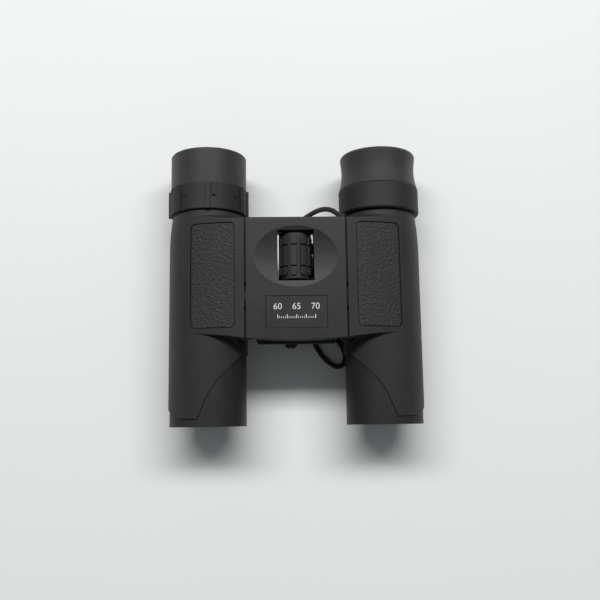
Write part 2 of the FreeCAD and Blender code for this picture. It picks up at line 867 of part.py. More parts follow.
def bridge_bottom_cover():
    """Thin shell under the bridge. Its lip stands a little proud of the front."""
    lip = slab(-15.8, 15.8, bridge_front - lip_length, bridge_front + 4, split_z - 1.6, split_z - 0.2, 1.2)
    lip = without_folded_barrels(lip, fold_clearance)
    shell = joined(bottom_outline(0), lip)
    inside = bottom_outline(shell_wall)
    inside = inside.cut(block(-REACH, REACH, -REACH, REACH, split_z - 0.0001, REACH))
    lid = bottom_outline(shell_wall).common(block(-REACH, REACH, -REACH, REACH, split_z - 3, REACH))
    shell = shell.cut(inside).cut(lid)
    posts = [Part.makeCylinder(1.9, 3.6, V(x, y, split_z - 3.6), UP) for x, y in screw_places()]
    shell = joined(shell, *[p.common(bottom_outline(0)) for p in posts])
    for x, y in screw_places():
        shell = shell.cut(Part.makeCylinder(0.95, 12, V(x, y, split_z - 8), UP))
        shell = shell.cut(Part.makeCylinder(1.75, 8, V(x, y, split_z - 9.6), UP))
    return shell


def screw_places():
    x = core_half_width - 5.6
    return [(s * x, y) for s in (1, -1) for y in (bridge_front + 4.2, bridge_rear - 4.2)]


def bottom_cover_screws():
    """Four countersunk cross-head screws, up into the frame."""
    screws = []
    for x, y in screw_places():
        head_z = split_z - 1.6
        head = Part.makeCylinder(1.6, 0.7, V(x, y, head_z - 0.7), UP)
        shank = Part.makeCylinder(0.75, 4.6, V(x, y, head_z), UP)
        screw = joined(head, shank)
        for length, width in ((1.9, 0.4), (0.4, 1.9)):
            slot = block(x - length / 2, x + length / 2, y - width / 2, y + width / 2, head_z - 1, head_z - 0.35)
            screw = screw.cut(slot)
        screws.append(screw)
    return Part.makeCompound(screws)


def hinge_pin():
    return cylinder(hinge_x, hinge_z, pin_radius, bridge_front + 0.8, bridge_rear - 0.8)


def hinge_washers():
    """Thin friction washers between the ears and the knuckles."""
    starts = (front_ear_end + running_gap, rear_ear_start - running_gap - washer_thickness)
    washers = [
        tube(side * hinge_x, hinge_z, knuckle_radius - 0.2, pin_radius, y, y + washer_thickness)
        for side in (1, -1)
        for y in starts
    ]
    return Part.makeCompound(washers)


# ---- focus drive ----


def focus_spindle():
    """Steel spindle, running in the two bushes; its front part drives the carriage's nut."""
    front = bush_spans()[0][0] + 0.3
    rear = bush_spans()[1][1] - 0.2
    return cylinder(0, wheel_z, spindle_radius, front, rear)


def wheel_core():
    start, end = wheel_span(0)
    return tube(0, wheel_z, core_radius, spindle_radius, start + 0.3, end - 0.3)


def wheel_grip():
    """Rubber sleeve with rows of long rounded pads, each crossed by two fine grooves."""
    start, end = wheel_span(0)
    base = wheel_radius - pad_height
    sleeve = turned(
        [
            (core_radius, start),
            (base - 0.35, start),
            (base, start + 0.35),
            (base, end - 0.35),
            (base - 0.35, end),
            (core_radius, end),
        ],
        0,
        wheel_z,
    )
    pad = slab(
        -pad_width / 2,
        pad_width / 2,
        wheel_y - pad_length / 2,
        wheel_y + pad_length / 2,
        base - 0.3,
        wheel_radius + 1,
        pad_width / 2 - 0.01,
    )
    limit = cylinder(0, 0, wheel_radius, start, end)
    pad = pad.common(limit)
    pads = []
    for n in range(wheel_pads):
        copy = pad.copy()
        copy.rotate(V(0, 0, 0), ALONG, pad_turn + n * 360 / wheel_pads)
        copy.translate(V(0, 0, wheel_z))
        pads.append(copy)
    grip = joined(sleeve, *pads)
    for offset in (-4.6, 4.0):
        y = wheel_y + offset
        grip = grip.cut(tube(0, wheel_z, wheel_radius + 1, base, y, y + 0.6))
    return grip


def focus_carriage():
    """Nut on the spindle, crossbar, and a sleeve on each hinge pin."""
    boss = cylinder(0, wheel_z, boss_radius, crossbar_end - boss_length, crossbar_end)
    bar = block(-hinge_x, hinge_x, crossbar_start, crossbar_end, wheel_z - 0.4, hinge_z + 1.5)
    ends = []
    for side in (1, -1):
        ends.append(cylinder(side * hinge_x, hinge_z, knuckle_radius - 0.1, crossbar_start, crossbar_end))
        ends.append(cylinder(side * hinge_x, hinge_z, sleeve_radius, crossbar_start, sleeve_end))
    carriage = joined(boss, bar, *ends)
    carriage = carriage.cut(cylinder(0, wheel_z, spindle_radius + running_gap, -REACH, REACH))
    for side in (1, -1):
        carriage = carriage.cut(cylinder(side * hinge_x, hinge_z, pin_radius + running_gap, -REACH, REACH))
    return carriage


def carriage_clips():
    clips = [tube(s * hinge_x, hinge_z, knuckle_radius - 0.1, sleeve_radius, clip_start, clip_end) for s in (1, -1)]
    return Part.makeCompound(clips)


# ---- strap lug and cord ----


def lug_place(radius):
    """A point on the line along which the lug stands out from the barrel, this far from the barrel's axis."""
    angle = math.radians(lug_angle)
    return V(barrel_x - radius * math.cos(angle), ring_front - 2.3, axis_z + radius * math.sin(angle))


def strap_lug():
    """Small staple on the inner side of the +X barrel, just in front of its collar."""
    angle = math.radians(lug_angle)
    ring = Part.makeTorus(1.55, 0.55, lug_place(tube_radius + 0.6), V(math.sin(angle), 0, math.cos(angle)))
    return ring.cut(cylinder(barrel_x, axis_z, tube_radius - 0.1, ring_front - 12, ring_front))


def lug_knot():
    """The cord's own knot around the lug's bar."""
    return Part.makeSphere(knot_radius, lug_place(tube_radius + 2.7))


def route_shape(points):
    """A round tube along straight runs joined by tangent arcs, as large as the runs allow."""
    edges = []
    last = points[0]
    for before, corner, after in zip(points, points[1:], points[2:]):
        a = before - corner
        b = after - corner
        half_turn = (math.pi - a.getAngle(b)) / 2
        back = 0.45 * min(a.Length, b.Length)
        radius = back / math.tan(half_turn)
        start = corner + a * (back / a.Length)
        end = corner + b * (back / b.Length)
        inward = a * (1 / a.Length) + b * (1 / b.Length)
        inward.normalize()
        middle = corner + inward * (radius / math.cos(half_turn) - radius)
        edges.append(Part.LineSegment(last, start).toShape())
        edges.append(Part.Arc(start, middle, end).toShape())
        last = end
    edges.append(Part.LineSegment(last, points[-1]).toShape())
    spine = Part.Wire(edges)
    profile = Part.Wire([Part.Circle(points[0], points[1] - points[0], cord_radius).toShape()])
    return spine.makePipeShell([profile], True, False)


def lug_cord():
    """From the knot on the lug, down behind the bridge and under it to the connector."""
    points = [
        (18.6, 29.0, 24.4),
        (16.4, 31.2, 23.9),
        (13.6, 32.8, 21.6),
        (10.4, 33.4, 17.4),
        (7.4, 33.1, 12.2),
        (4.8, 32.4, 7.8),
        (2.4, 31.2, 3.4),
        (connector_x, connector_back + 2.4, connector_z),
        (connector_x, connector_back, connector_z),
    ]
    return route_shape([V(*p) for p in points]).cut(lug_knot())


def neck_cord():
    """The bight of the put-away cord that sticks out in front of the bridge."""
    points = [
        (7.2, -12.5, 1.25),
        (7.6, -19.8, 1.2),
        (11.0, -26.2, 1.2),
        (14.6, -30.0, 1.2),
        (18.2, -32.0, 1.2),
        (21.6, -30.2, 1.2),
        (21.4, -24.6, 1.2),
        (18.2, -19.6, 1.2),
        (15.0, -14.4, 1.2),
        (11.9, -9.6, 1.25),
        (8.0, -5.5, 1.3),
    ]
    return route_shape([V(*p) for p in points]).cut(cord_hank())


def hank_ends():
    """The middles of the hank's two end loops, in plan."""
    x = hank_side + hank_width / 2
    back = hank_front + hank_length
    return x, hank_front + hank_width / 2, back - hank_width / 2


def cord_hank():
    """The put-away cord: long turns laid on each other, drawn together where the tie holds them."""
    x, near, far = hank_ends()
    radius = hank_width / 2
    middle = (near + far) / 2
    waist = hank_waist / 2
    hank = joined(*[Part.makeCylinder(radius, hank_height, V(x, y, 0.1), UP) for y in (near, far)])
    outline = [
        V(x - radius, near, 0.1),
        V(x - waist, middle - tie_width / 2, 0.1),
        V(x - waist, middle + tie_width / 2, 0.1),
        V(x - radius, far, 0.1),
        V(x + radius, far, 0.1),
        V(x + waist, middle + tie_width / 2, 0.1),
        V(x + waist, middle - tie_width / 2, 0.1),
        V(x + radius, near, 0.1),
    ]
    hank = joined(hank, Part.Face(Part.makePolygon(outline + outline[:1])).extrude(UP * hank_height))
    lead = cylinder(connector_x, connector_z, cord_radius, far, connector_front)
    return joined(hank, cord_tail(), lead).cut(cord_tie()).cut(cord_knot())


def cord_tail():
    """The cord's last stretch: over the front of the hank and down it to the knot."""
    points = [
        (-1.4, -9.0, 12.3),
        (-1.5, -14.9, 12.3),
        (-1.5, -17.1, 9.6),
        (-1.5, -18.2, 6.6),
        (-1.5, -20.2, 4.2),
    ]
    return route_shape([V(*p) for p in points])


def cord_tie():
    """Band around the hank's waist."""
    x, near, far = hank_ends()
    middle = (near + far) / 2
    waist = hank_waist / 2
    half = tie_width / 2
    band = block(x - waist, x + waist, middle - half, middle + half, 0.1, 0.1 + hank_height)
    inner = block(
        x - waist + tie_thickness,
        x + waist - tie_thickness,
        middle - half,
        middle + half,
        0.1 + tie_thickness,
        0.1 + hank_height - tie_thickness,
    )
    return band.cut(inner)


def cord_knot():
    """Knot at the cord's free end."""
    return Part.makeSphere(end_knot_radius, V(-1.5, -21.6, end_knot_radius))


def cord_connector():
    """Ferrule that joins the lug's cord to the carrying cord."""
    return cylinder(connector_x, connector_z, connector_radius, connector_front, connector_back)


PARTS = {}


def pair(name, shape):
    """The same piece on both barrels, mirrored."""
    PARTS["right_" + name] = shape
    PARTS["left_" + name] = mirrored(shape)


def build():
    pair("barrel_housing", barrel_housing())
    pair("rubber_armour", rubber_armour())
    pair("grip_panel", grip_panel())
    pair("front_ring", front_ring())
    pair("objective_cell", objective_cell())
    pair("focus_arm", focus_arm())
    pair("objective_lens_front", objective_lens_front())
    pair("objective_lens_rear", objective_lens_rear())
    pair("objective_retainer", objective_retainer())
    pair("prism_holder", prism_holder())
    pair("half_prism", half_prism())
    pair("roof_prism", roof_prism())
    pair("prism_clip", prism_clip())
    pair("eyepiece_tube", eyepiece_tube())
    pair("field_lens", field_lens())
    pair("eye_lens", eye_lens())
    pair("eye_lens_retainer", eye_lens_retainer())
    pair("hinge_pin", hinge_pin())
    PARTS["left_eyecup"] = mirrored(straight_eyecup())
    PARTS["right_eyecup"] = flared_eyecup()
    PARTS["dioptre_ring"] = mirrored(dioptre_ring())
    PARTS["right_collar"] = fixed_collar()
    PARTS["bridge_frame"] = bridge_frame()
    PARTS["bridge_top_cover"] = bridge_top_cover()
    PARTS["bridge_bottom_cover"] = bridge_bottom_cover()
    PARTS["label_plate"] = label_plate()
    PARTS["bottom_cover_screws"] = bottom_cover_screws()
    PARTS["hinge_washers"] = hinge_washers()
    PARTS["spindle_bushes"] = spindle_bushes()
    PARTS["focus_spindle"] = focus_spindle()
    PARTS["wheel_core"] = wheel_core()
    PARTS["wheel_grip"] = wheel_grip()
    PARTS["focus_carriage"] = focus_carriage()
    PARTS["carriage_clips"] = carriage_clips()
    PARTS["strap_lug"] = strap_lug()
    PARTS["lug_knot"] = lug_knot()
    PARTS["lug_cord"] = lug_cord()
    PARTS["neck_cord"] = neck_cord()
    PARTS["cord_connector"] = cord_connector()
    PARTS["cord_hank"] = cord_hank()
    PARTS["cord_tie"] = cord_tie()
    PARTS["cord_knot"] = cord_knot()


build()
os.makedirs("parts", exist_ok=True)
for node, shape in PARTS.items():
    shape.exportStep("parts/" + node + ".step")
    print(node, len(shape.Solids), round(shape.Volume, 1), shape.isValid())
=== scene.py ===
import json
import math

import bmesh
import bpy
from mathutils import Matrix, Vector, noise
from mathutils.bvhtree import BVHTree


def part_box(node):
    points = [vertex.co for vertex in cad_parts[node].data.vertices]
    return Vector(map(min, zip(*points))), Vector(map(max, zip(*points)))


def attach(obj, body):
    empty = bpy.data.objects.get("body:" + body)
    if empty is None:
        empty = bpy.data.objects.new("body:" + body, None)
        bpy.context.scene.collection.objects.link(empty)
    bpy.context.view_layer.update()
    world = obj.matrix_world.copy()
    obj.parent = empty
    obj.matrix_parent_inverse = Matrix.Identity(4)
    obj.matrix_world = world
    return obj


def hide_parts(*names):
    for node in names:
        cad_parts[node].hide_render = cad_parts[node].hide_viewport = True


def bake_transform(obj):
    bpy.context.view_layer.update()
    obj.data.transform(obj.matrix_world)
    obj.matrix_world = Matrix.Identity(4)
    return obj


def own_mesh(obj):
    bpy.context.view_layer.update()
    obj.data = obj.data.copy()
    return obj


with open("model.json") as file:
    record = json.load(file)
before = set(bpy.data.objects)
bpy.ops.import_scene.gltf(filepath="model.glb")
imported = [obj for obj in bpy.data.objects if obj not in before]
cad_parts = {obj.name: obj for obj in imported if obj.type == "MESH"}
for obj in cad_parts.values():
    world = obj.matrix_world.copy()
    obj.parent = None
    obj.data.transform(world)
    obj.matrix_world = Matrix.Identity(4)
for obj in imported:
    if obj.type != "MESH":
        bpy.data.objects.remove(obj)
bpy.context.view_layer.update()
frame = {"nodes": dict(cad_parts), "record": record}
nodes = frame["nodes"]
mm = 0.001

# ---- the camera, at the photograph's angle ----

CAMERA_PLACE = Vector((-8.7, -55.1, 340.4)) * mm
CAMERA_PITCH = 8.83
CAMERA_YAW = -1.89
CAMERA_ROLL = -0.88
CAMERA_LENS = 47.38


def make_camera():
    data = bpy.data.cameras.new("camera")
    data.lens = CAMERA_LENS
    data.sensor_width = 36
    data.clip_start = 0.01
    camera = bpy.data.objects.new("camera", data)
    turn = Matrix.Identity(4)
    for angle, axis in ((CAMERA_YAW, "Y"), (CAMERA_PITCH, "X"), (CAMERA_ROLL, "Z")):
        turn = turn @ Matrix.Rotation(math.radians(angle), 4, axis)
    camera.matrix_world = Matrix.Translation(CAMERA_PLACE) @ turn
    bpy.context.collection.objects.link(camera)
    bpy.context.scene.camera = camera


make_camera()


# ---- materials ----


class Material:
    """A Principled material and short calls to add nodes to it."""

    def __init__(self, name, **values):
        self.material = bpy.data.materials.new(name)
        self.material.use_nodes = True
        self.tree = self.material.node_tree
        self.shader = self.tree.nodes["Principled BSDF"]
        for key, value in values.items():
            self.shader.inputs[key.replace("_", " ")].default_value = value

    def node(self, kind, values=None, **properties):
        made = self.tree.nodes.new("ShaderNode" + kind)
        for key, value in properties.items():
            setattr(made, key, value)
        for key, value in (values or {}).items():
            if isinstance(value, bpy.types.NodeSocket):
                self.tree.links.new(value, made.inputs[key])
            else:
                made.inputs[key].default_value = value
        return made

    def place(self, scale=(1, 1, 1), source="Object"):
        coordinates = self.node("TexCoord")
        mapping = self.node("Mapping", {"Vector": coordinates.outputs[source], "Scale": scale})
        return mapping.outputs[0]

    def noise(self, place, scale, detail=3.0, roughness=0.55):
        made = self.node("TexNoise", {"Vector": place, "Scale": scale, "Detail": detail, "Roughness": roughness})
        return made.outputs["Fac"]

    def spread(self, value, low, high, start, end):
        made = self.node("MapRange", {"Value": value, "From Min": low, "From Max": high, "To Min": start, "To Max": end})
        return made.outputs[0]

    def math(self, operation, a, b):
        return self.node("Math", {0: a, 1: b}, operation=operation).outputs[0]

    def blend(self, share, first, second, mode="MIX"):
        made = self.node("Mix", {"Factor": share}, data_type="RGBA", blend_type=mode)
        for key, value in ((6, first), (7, second)):
            if isinstance(value, bpy.types.NodeSocket):
                self.tree.links.new(value, made.inputs[key])
            else:
                made.inputs[key].default_value = (*value, 1) if len(value) == 3 else value
        return made.outputs[2]

    def bump(self, height, distance, strength=1.0, normal=None):
        values = {"Height": height, "Distance": distance, "Strength": strength}
        if normal is not None:
            values["Normal"] = normal
        return self.node("Bump", values).outputs[0]

    def rounded(self, radius):
        """The surface's direction as if its edges were rounded, and how near an edge is."""
        soft = self.node("Bevel", {"Radius": radius}, samples=6).outputs[0]
        flat = self.node("NewGeometry").outputs["Normal"]
        facing = self.node("VectorMath", {0: soft, 1: flat}, operation="DOT_PRODUCT").outputs["Value"]
        return soft, self.spread(facing, 0.999, 0.86, 0.0, 1.0)

    def painted_crevice_shade(self, reach):
        """Painted shade from ambient occlusion: from near 0 deep in a crevice, where the colour goes towards black, to
        1 in the open.
        """
        made = self.node("AmbientOcclusion", {"Distance": reach}, samples=8)
        return self.spread(made.outputs["AO"], 0.2, 0.8, 0.12, 1.0)

    def to(self, key, value):
        self.tree.links.new(value, self.shader.inputs[key])


def grey(value, warm=0.0):
    return (value * (1 + warm), value, value * (1 - warm))


def moulded(name, shade, rough, grain, height, edge=0.25, warm=0.0, edge_highlight_gain=1.7, sheen=0.0, specular=0.27):
    """Moulded plastic or rubber: fine grain, faint mottling, handled patches, a painted highlight along rounded edges
    and painted shade in crevices.
    """
    m = Material(name, Sheen_Weight=sheen, Specular_IOR_Level=specular, Sheen_Roughness=0.6)
    place = m.place()
    mottle = m.noise(place, 90, 4, 0.6)
    patches = m.noise(place, 28, 2, 0.5)
    fine = m.noise(place, grain, 2, 0.5)
    normal, near_edge = m.rounded(edge * mm)
    dark = m.blend(m.spread(mottle, 0.3, 0.7, 0, 1), grey(shade * 0.86, warm), grey(shade * 1.14, warm))
    specks = m.spread(fine, 0.62, 0.8, 0, 0.35)
    speckled = m.blend(specks, dark, grey(shade * 1.7, warm))
    # Painted highlight: the colour is lighter along rounded edges, varied by the mottling.
    wear_and_edge_highlight = m.math("MULTIPLY", near_edge, m.spread(mottle, 0.25, 0.7, 0.35, 1.0))
    surface = m.blend(wear_and_edge_highlight, speckled, grey(shade * edge_highlight_gain, warm))
    # Painted shade: the colour is darkened towards black in crevices and seams by ambient occlusion.
    m.to("Base Color", m.blend(m.painted_crevice_shade(1.4 * mm), (0.001, 0.001, 0.001), surface))
    handled = m.spread(patches, 0.35, 0.7, rough - 0.06, rough + 0.05)
    m.to("Roughness", m.math("ADD", handled, m.spread(mottle, 0.3, 0.7, -0.04, 0.04)))
    m.to("Normal", m.bump(fine, height * mm, 0.7, normal))
    return m.material


def leather(name, shade):
    """Grained rubber: the large grain is in the mesh, this adds its pores and painted shade in its creases, which
    leaves the tops lighter.
    """
    m = Material(name, Specular_IOR_Level=0.36)
    place = m.place()
    warp = m.node("TexNoise", {"Vector": place, "Scale": 900, "Detail": 2}).outputs["Color"]
    bent = m.node("Mix", {"Factor": 0.0006, 4: place, 5: warp}, data_type="VECTOR").outputs[1]
    cells = m.node("TexVoronoi", {"Vector": bent, "Scale": 1500}, feature="DISTANCE_TO_EDGE").outputs["Distance"]
    mottle = m.noise(place, 110, 4, 0.6)
    crease = m.spread(cells, 0.0, 0.22, 0, 1)
    tone = m.blend(m.spread(mottle, 0.3, 0.7, 0, 1), grey(shade * 0.88), grey(shade * 1.15))
    # Painted shade: the colour is darker in the creases between the grain's cells.
    m.to("Base Color", m.blend(crease, grey(shade * 0.5), tone))
    m.to("Roughness", m.spread(mottle, 0.3, 0.7, 0.52, 0.64))
    normal = m.bump(crease, 0.05 * mm, 0.8)
    m.to("Normal", m.bump(m.noise(place, 5200, 2), 0.012 * mm, 0.6, normal))
    return m.material


def brushed(name, shade, rough):
    """Turned steel or bronze: fine rings and slight tarnish."""
    m = Material(name, Metallic=1.0)
    place = m.place((1, 12, 1))
    rings = m.noise(place, 700, 2, 0.6)
    tarnish = m.noise(m.place(), 160, 3)
    dull = tuple(c * 0.7 for c in shade)
    m.to("Base Color", m.blend(m.spread(tarnish, 0.35, 0.7, 0, 1), shade, dull))
    m.to("Roughness", m.spread(tarnish, 0.3, 0.7, rough, rough + 0.14))
    m.to("Normal", m.bump(rings, 0.006 * mm, 0.8))
    return m.material


def coated_glass(name, tint, film, amount):
    """Clear glass with a faint coloured reflection, and a little dust."""
    m = Material(name, Base_Color=(*tint, 1), Roughness=0.02, IOR=1.52, Transmission_Weight=0.92)
    m.shader.inputs["Coat Weight"].default_value = amount
    m.shader.inputs["Coat Tint"].default_value = (*film, 1)
    m.shader.inputs["Coat Roughness"].default_value = 0.03
    dust = m.noise(m.place(), 420, 5, 0.7)
    m.to("Roughness", m.spread(dust, 0.55, 0.8, 0.02, 0.12))
    return m.material


def cord_fabric(name, shade):
    """Close-braided cord: worn high threads and dark gaps."""
    m = Material(name, Sheen_Weight=0.25, Sheen_Roughness=0.5, Specular_IOR_Level=0.35)
    place = m.place()
    fibre = m.noise(place, 6000, 3, 0.7)
    patch = m.noise(place, 300, 3)
    dark = m.blend(m.spread(fibre, 0.35, 0.7, 0, 1), grey(shade * 0.55), grey(shade * 1.6))
    m.to("Base Color", m.blend(m.spread(patch, 0.5, 0.75, 0, 0.5), dark, grey(shade * 2.2)))
    m.to("Roughness", m.spread(fibre, 0.3, 0.7, 0.6, 0.85))
    m.to("Normal", m.bump(fibre, 0.03 * mm, 0.6))
    return m.material


LOOKS = {
    "housing_plastic": moulded("housing_plastic", 0.015, 0.5, 2600, 0.012, 0.3),
    "armour_rubber": moulded("armour_rubber", 0.015, 0.62, 2200, 0.03, 0.3, sheen=0.06),
    "grip_rubber": leather("grip_rubber", 0.022),
    "inner_black": moulded("inner_black", 0.004, 0.5, 2400, 0.01, 0.15),
    "lens_glass": coated_glass("lens_glass", (0.9, 0.93, 0.97), (0.45, 0.3, 0.9), 0.5),
    "prism_glass": coated_glass("prism_glass", (0.95, 0.97, 0.96), (0.8, 0.9, 0.85), 0.1),
    "steel": brushed("steel", (0.05, 0.05, 0.052), 0.4),
    "eyecup_rubber": moulded("eyecup_rubber", 0.021, 0.52, 3000, 0.008, 0.4, sheen=0.1),
    "ring_plastic": moulded("ring_plastic", 0.018, 0.6, 1500, 0.07, 0.2, edge_highlight_gain=2.2),
    "bridge_plastic": moulded("bridge_plastic", 0.017, 0.46, 2600, 0.01, 0.35),
    "label_print": moulded("label_print", 0.017, 0.5, 2600, 0.008, 0.15),
    "bronze": brushed("bronze", (0.2, 0.13, 0.06), 0.4),
    "wheel_plastic": moulded("wheel_plastic", 0.012, 0.42, 2600, 0.008, 0.2),
    "wheel_rubber": moulded("wheel_rubber", 0.02, 0.55, 2400, 0.012, 0.25, edge_highlight_gain=2.4),
    "cord_fabric": cord_fabric("cord_fabric", 0.006),
    "tie_plastic": moulded("tie_plastic", 0.01, 0.4, 2600, 0.006, 0.1),
}

for row in frame["record"]["subparts"]:
    slots = nodes[row["node"]].material_slots
    for slot in slots:
        slot.material = LOOKS[row["material_slot"]]


# ---- making pieces ----


def shown(name, mesh, look):
    """A smooth mesh object with one material."""
    piece = bpy.data.objects.new(name, mesh)
    bpy.context.collection.objects.link(piece)
    mesh.materials.append(LOOKS[look])
    for polygon in mesh.polygons:
        polygon.use_smooth = True
    return piece


def mesh_of(name, points, faces):
    mesh = bpy.data.meshes.new(name)
    mesh.from_pydata([tuple(p) for p in points], [], faces)
    mesh.update()
    return mesh


def put(piece, body, slot, *replaced):
    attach(piece, body)
    if replaced:
        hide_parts(*replaced)


def spline_points(name, route):
    """Points along the smooth line whose control points are the route's, in millimetres."""
    curve = bpy.data.curves.new(name, "CURVE")
    curve.dimensions = "3D"
    spline = curve.splines.new("NURBS")
    spline.points.add(len(route) - 1)
    for point, place in zip(spline.points, route):
        point.co = (*(Vector(place) * mm), 1)
    spline.order_u = 3
    spline.use_endpoint_u = True
    spline.resolution_u = 10
    holder = bpy.data.objects.new(name, curve)
    line = bpy.data.meshes.new_from_object(holder)
    points = [v.co.copy() for v in line.vertices]
    bpy.data.objects.remove(holder)
    bpy.data.meshes.remove(line)
    return points


def evenly(points, step):
    """The same line with points this far apart, its ends kept."""
    total = sum((b - a).length for a, b in zip(points, points[1:]))
    count = max(2, round(total / step))
    spacing = total / count
    result = [points[0]]
    walked = 0.0
    for a, b in zip(points, points[1:]):
        leg = (b - a).length
        while leg > 0 and walked + leg >= spacing * len(result) and len(result) < count:
            result.append(a.lerp(b, (spacing * len(result) - walked) / leg))
        walked += leg
    result.append(points[-1])
    return result


AROUND = 24
BRAID_ROWS = 6
BRAID_PITCH = 1.15 * mm
BRAID_STEP = 0.28 * mm


def braided_tube(name, points, radius, step=BRAID_STEP):
    """A tube along the points whose surface has the bumps of a close braid, closed at both ends."""
    line = evenly(points, step)
    tangents = [(b - a).normalized() for a, b in zip(line, line[1:])]
    tangents = [tangents[0]] + [(a + b).normalized() for a, b in zip(tangents, tangents[1:])] + [tangents[-1]]
    side = tangents[0].orthogonal().normalized()
    verts = []
    faces = []
    for n, (centre, tangent) in enumerate(zip(line, tangents)):
        side = (side - tangent * side.dot(tangent)).normalized()
        other = tangent.cross(side)
        end = min(n, len(line) - 1 - n)
        cap = math.sqrt(1 - (1 - end / 3) ** 2) if end < 3 else 1.0
        along = math.cos(math.tau * n * step / BRAID_PITCH)
        for k in range(AROUND):
            angle = math.tau * k / AROUND
            bump = 0.5 * (along + math.cos(BRAID_ROWS * angle))
            reach = radius * (0.955 + 0.045 * bump) * max(cap, 0.25)
            verts.append(centre + side * (reach * math.cos(angle)) + other * (reach * math.sin(angle)))
    for n in range(len(line) - 1):
        for k in range(AROUND):
            a = n * AROUND + k
            b = n * AROUND + (k + 1) % AROUND
            faces.append((a, b, b + AROUND, a + AROUND))
    faces.append(tuple(reversed(range(AROUND))))
    last = (len(line) - 1) * AROUND
    faces.append(tuple(range(last, last + AROUND)))
    return shown(name, mesh_of(name, verts, faces), "cord_fabric"), line


# ---- the cords ----

CORD_RADIUS = 1.1
HANK_X = 4.3
HANK_NEAR = -9.3
HANK_FAR = 13.3
HANK_BEND = 7.14
HANK_NIP = 1.15
HANK_BASE = 1.2
LAYER = 2.26
LAYERS = 5
CONNECTOR_X = 1.7
CONNECTOR_Z = 1.75
CONNECTOR_FRONT = 21.5
CONNECTOR_BACK = 26.7
END_KNOT = Vector((-1.5, -21.6, 3.0))

LUG_ROUTE = [
    (18.6, 29.0, 24.4),
    (16.4, 31.2, 23.9),
    (13.6, 32.8, 21.6),
    (10.4, 33.4, 17.4),
    (7.4, 33.1, 12.2),
    (4.8, 32.4, 7.8),
    (2.4, 31.2, 3.4),
    (CONNECTOR_X, CONNECTOR_BACK + 2.4, CONNECTOR_Z),
    (CONNECTOR_X, CONNECTOR_BACK, CONNECTOR_Z),
]
LEAD_ROUTE = [
    (CONNECTOR_X, CONNECTOR_FRONT, CONNECTOR_Z),
    (CONNECTOR_X, CONNECTOR_FRONT - 1.6, 1.3),
    (0.6, 18.9, 1.2),
    (-1.2, 16.6, 1.2),
    (-2.2, 12.6, 1.2),
    (-0.4, 8.2, 1.2),
]
BIGHT_ROUTE = [
    (2.4, -4.0, 1.2),
    (4.4, -9.2, 1.2),
    (6.8, -14.0, 1.2),
    (7.6, -19.8, 1.2),
    (11.0, -26.2, 1.2),
    (14.6, -30.0, 1.2),
    (18.2, -32.0, 1.2),
    (21.6, -30.2, 1.2),
    (21.4, -24.6, 1.2),
    (18.2, -19.6, 1.2),
    (15.0, -14.4, 1.2),
    (11.9, -9.0, 1.2),
    (8.6, -4.2, 1.2),
]
TAIL_ROUTE = [
    (0.4, -5.0, 12.5),
    (-1.2, -10.0, 12.5),
    (-1.5, -14.9, 12.4),
    (-1.5, -17.1, 9.8),
    (-1.5, -18.4, 6.8),
    (-1.5, -20.0, 4.9),
]


def nip(side, level, rise=0.0):
    """The two points between which the tie holds a strand. The strand goes forwards on the left."""
    z = HANK_BASE + LAYER * level
    x = HANK_X + side * HANK_NIP
    ends = ((5.0, z), (-1.0, z)) if side < 0 else ((-1.0, z + 0.3 * rise), (5.0, z + 0.7 * rise))
    return [(x, y, height) for y, height in ends]


def bend(middle, start, level):
    """Half a turn of the hank, anticlockwise from above, around one of its ends."""
    z = HANK_BASE + LAYER * level
    places = []
    for n in range(5):
        angle = math.radians(start + 45 * n)
        places.append((HANK_X + HANK_BEND * math.cos(angle), middle + HANK_BEND * math.sin(angle), z))
    return places


def hank_route():
    """From the connector: the bight that shows in front, four turns upwards, and the tail over the front."""
    route = LEAD_ROUTE + nip(-1, 0) + BIGHT_ROUTE + nip(1, 0, LAYER)
    for level in range(1, LAYERS):
        route += bend(HANK_FAR, 0, level) + nip(-1, level) + bend(HANK_NEAR, 180, level) + nip(1, level, LAYER)
    return route + bend(HANK_FAR, 0, LAYERS) + nip(-1, LAYERS) + TAIL_ROUTE


def length_of(points):
    return sum((b - a).length for a, b in zip(points, points[1:]))


def knot_tube(name, centre, size, radius, flat, turn):
    """A trefoil of cord about a centre: what an overhand knot shows."""
    points = []
    for n in range(97):
        t = math.tau * n / 96
        x = math.sin(t) + 2 * math.sin(2 * t)
        y = math.cos(t) - 2 * math.cos(2 * t)
        points.append(Vector(centre) * mm + turn @ Vector((x * size, y * size, -math.sin(3 * t) * flat)) * mm)
    return braided_tube(name, points, radius * mm, 0.2 * mm)[0]


def turned_piece(name, outline, centre, axis, look, around=48):
    """A closed ring profile of (radius, along) points in millimetres, turned about an axis."""
    turn = Vector((0, 0, 1)).rotation_difference(Vector(axis)).to_matrix()
    verts = []
    for k in range(around):
        angle = math.tau * k / around
        for r, h in outline:
            verts.append(Vector(centre) * mm + turn @ Vector((r * math.cos(angle), r * math.sin(angle), h)) * mm)
    size = len(outline)
    faces = []
    for k in range(around):
        for n in range(size):
            a = k * size + n
            b = k * size + (n + 1) % size
            c = ((k + 1) % around) * size + (n + 1) % size
            d = ((k + 1) % around) * size + n
            faces.append((a, d, c, b))
    return shown(name, mesh_of(name, verts, faces), look)


